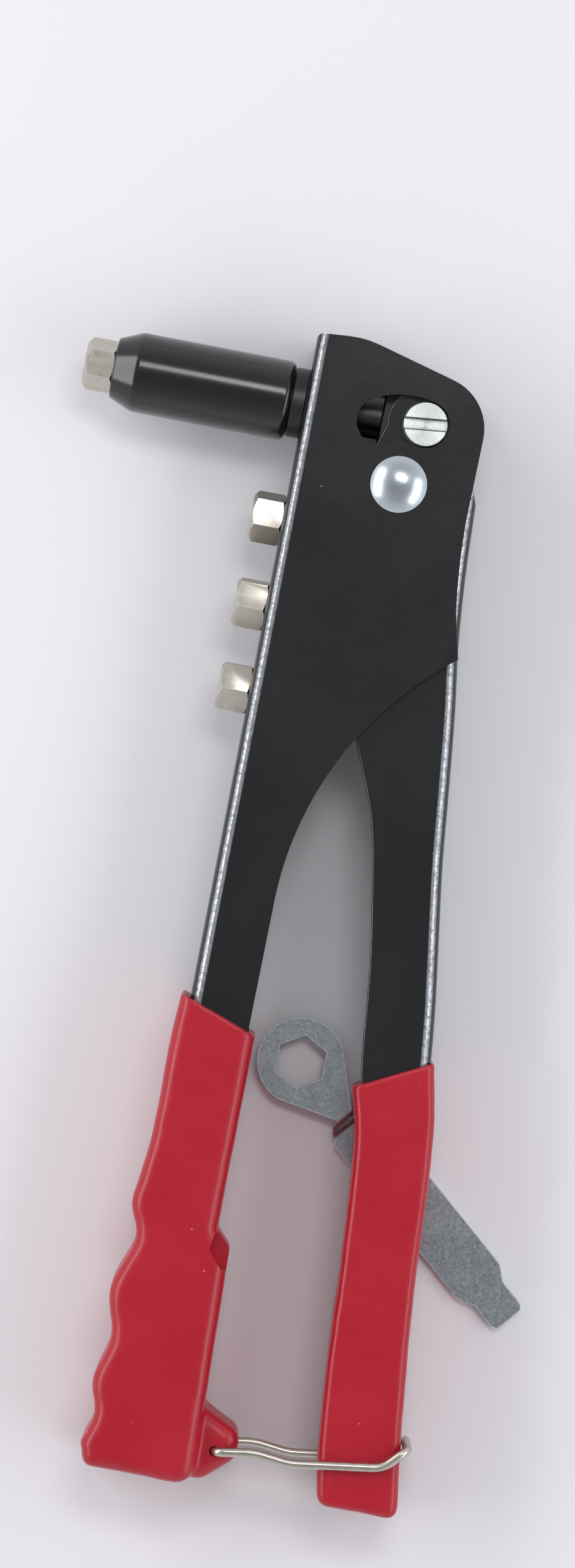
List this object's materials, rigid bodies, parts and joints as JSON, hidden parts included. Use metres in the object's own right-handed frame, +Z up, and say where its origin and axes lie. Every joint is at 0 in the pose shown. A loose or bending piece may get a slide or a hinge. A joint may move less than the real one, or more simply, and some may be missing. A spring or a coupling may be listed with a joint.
{
  "type": "hand riveter",
  "caption": "Hand riveter with a pressed steel body and lever, dipped grips, a barrel with jaws inside, spare nosepieces, a wire bail and a flat spanner.",
  "frame": {"origin": "centre of the whole tool's underside as it lies on its side, spanner and closed bail included", "axes": "+X along the nose axis from the nosepiece towards the back of the head, +Y up the handles towards the head, +Z up through the tool's thickness"},
  "size_m": [0.1321, 0.2498, 0.026],
  "materials": {
    "black_paint": "satin black paint",
    "red_grip": "semi-gloss dipped PVC",
    "zinc": "bright zinc plate",
    "nickel": "nickel plate, slightly warm",
    "steel": "turned steel",
    "spanner_zinc": "mottled blue zinc plate"
  },
  "bodies": {
    "frame": {"body_frame": "black_paint", "body_grip": "red_grip", "main_rivet": "zinc", "rivet_washer": "zinc", "pivot_bush": "steel", "barrel": "black_paint", "barrel_bush": "steel", "barrel_nut": "steel", "nosepiece_fitted": "nickel", "nosepiece_spare_1": "nickel", "nosepiece_spare_2": "nickel", "nosepiece_spare_3": "nickel"},
    "lever": {"lever_channel": "black_paint", "lever_grip": "red_grip", "drive_pin_sleeve": "zinc", "drive_pin_screw": "zinc"},
    "puller": {"pull_rod": "steel", "jaw_case": "steel", "jaw_spring": "steel"},
    "jaw_top": {"jaw_upper": "steel"},
    "jaw_bottom": {"jaw_lower": "steel"},
    "pusher": {"jaw_pusher": "steel"},
    "bail": {"bail_wire": "nickel"},
    "loose_spanner": {"spanner": "spanner_zinc"}
  },
  "joints": [
    {"name": "lever_pivot", "type": "hinge", "parent": "frame", "child": "lever", "pos_m": [0.0056, 0.09543, 0.013], "axis": [0, 0, 1], "range_deg": [0, 40], "deforming": ["bail_wire"]},
    {"name": "puller_slide", "type": "slide", "parent": "frame", "child": "puller", "axis": [1, 0, 0], "range_m": [-0.0097, 0]},
    {"name": "jaw_upper_slide", "type": "slide", "parent": "puller", "child": "jaw_top", "axis": [0.9848, 0.1736, 0], "range_m": [0, 0.002], "stiffness_N_per_m": 500, "springref_m": -0.004},
    {"name": "jaw_lower_slide", "type": "slide", "parent": "puller", "child": "jaw_bottom", "axis": [0.9848, -0.1736, 0], "range_m": [0, 0.002]},
    {"name": "jaw_pusher_slide", "type": "slide", "parent": "puller", "child": "pusher", "axis": [1, 0, 0], "range_m": [0, 0.002], "deforming": ["jaw_spring"]},
    {"name": "bail_swing", "type": "hinge", "parent": "frame", "child": "bail", "pos_m": [0.0061, -0.11677, 0.013], "axis": [0, 0, 1], "range_deg": [-101, 0]},
    {"name": "spanner_slide", "type": "slide", "parent": "frame", "child": "loose_spanner", "axis": [0.7627, -0.6468, 0], "range_m": [0, 0.09]}
  ],
  "couplings": [
    {"joint": "puller_slide", "follows": "lever_pivot", "m_per_rad": -0.01382},
    {"joint": "bail_swing", "follows": "lever_pivot", "ratio": -2.5},
    {"joint": "jaw_lower_slide", "follows": "jaw_upper_slide", "ratio": 1},
    {"joint": "jaw_pusher_slide", "follows": "jaw_upper_slide", "ratio": 0.985}
  ]
}
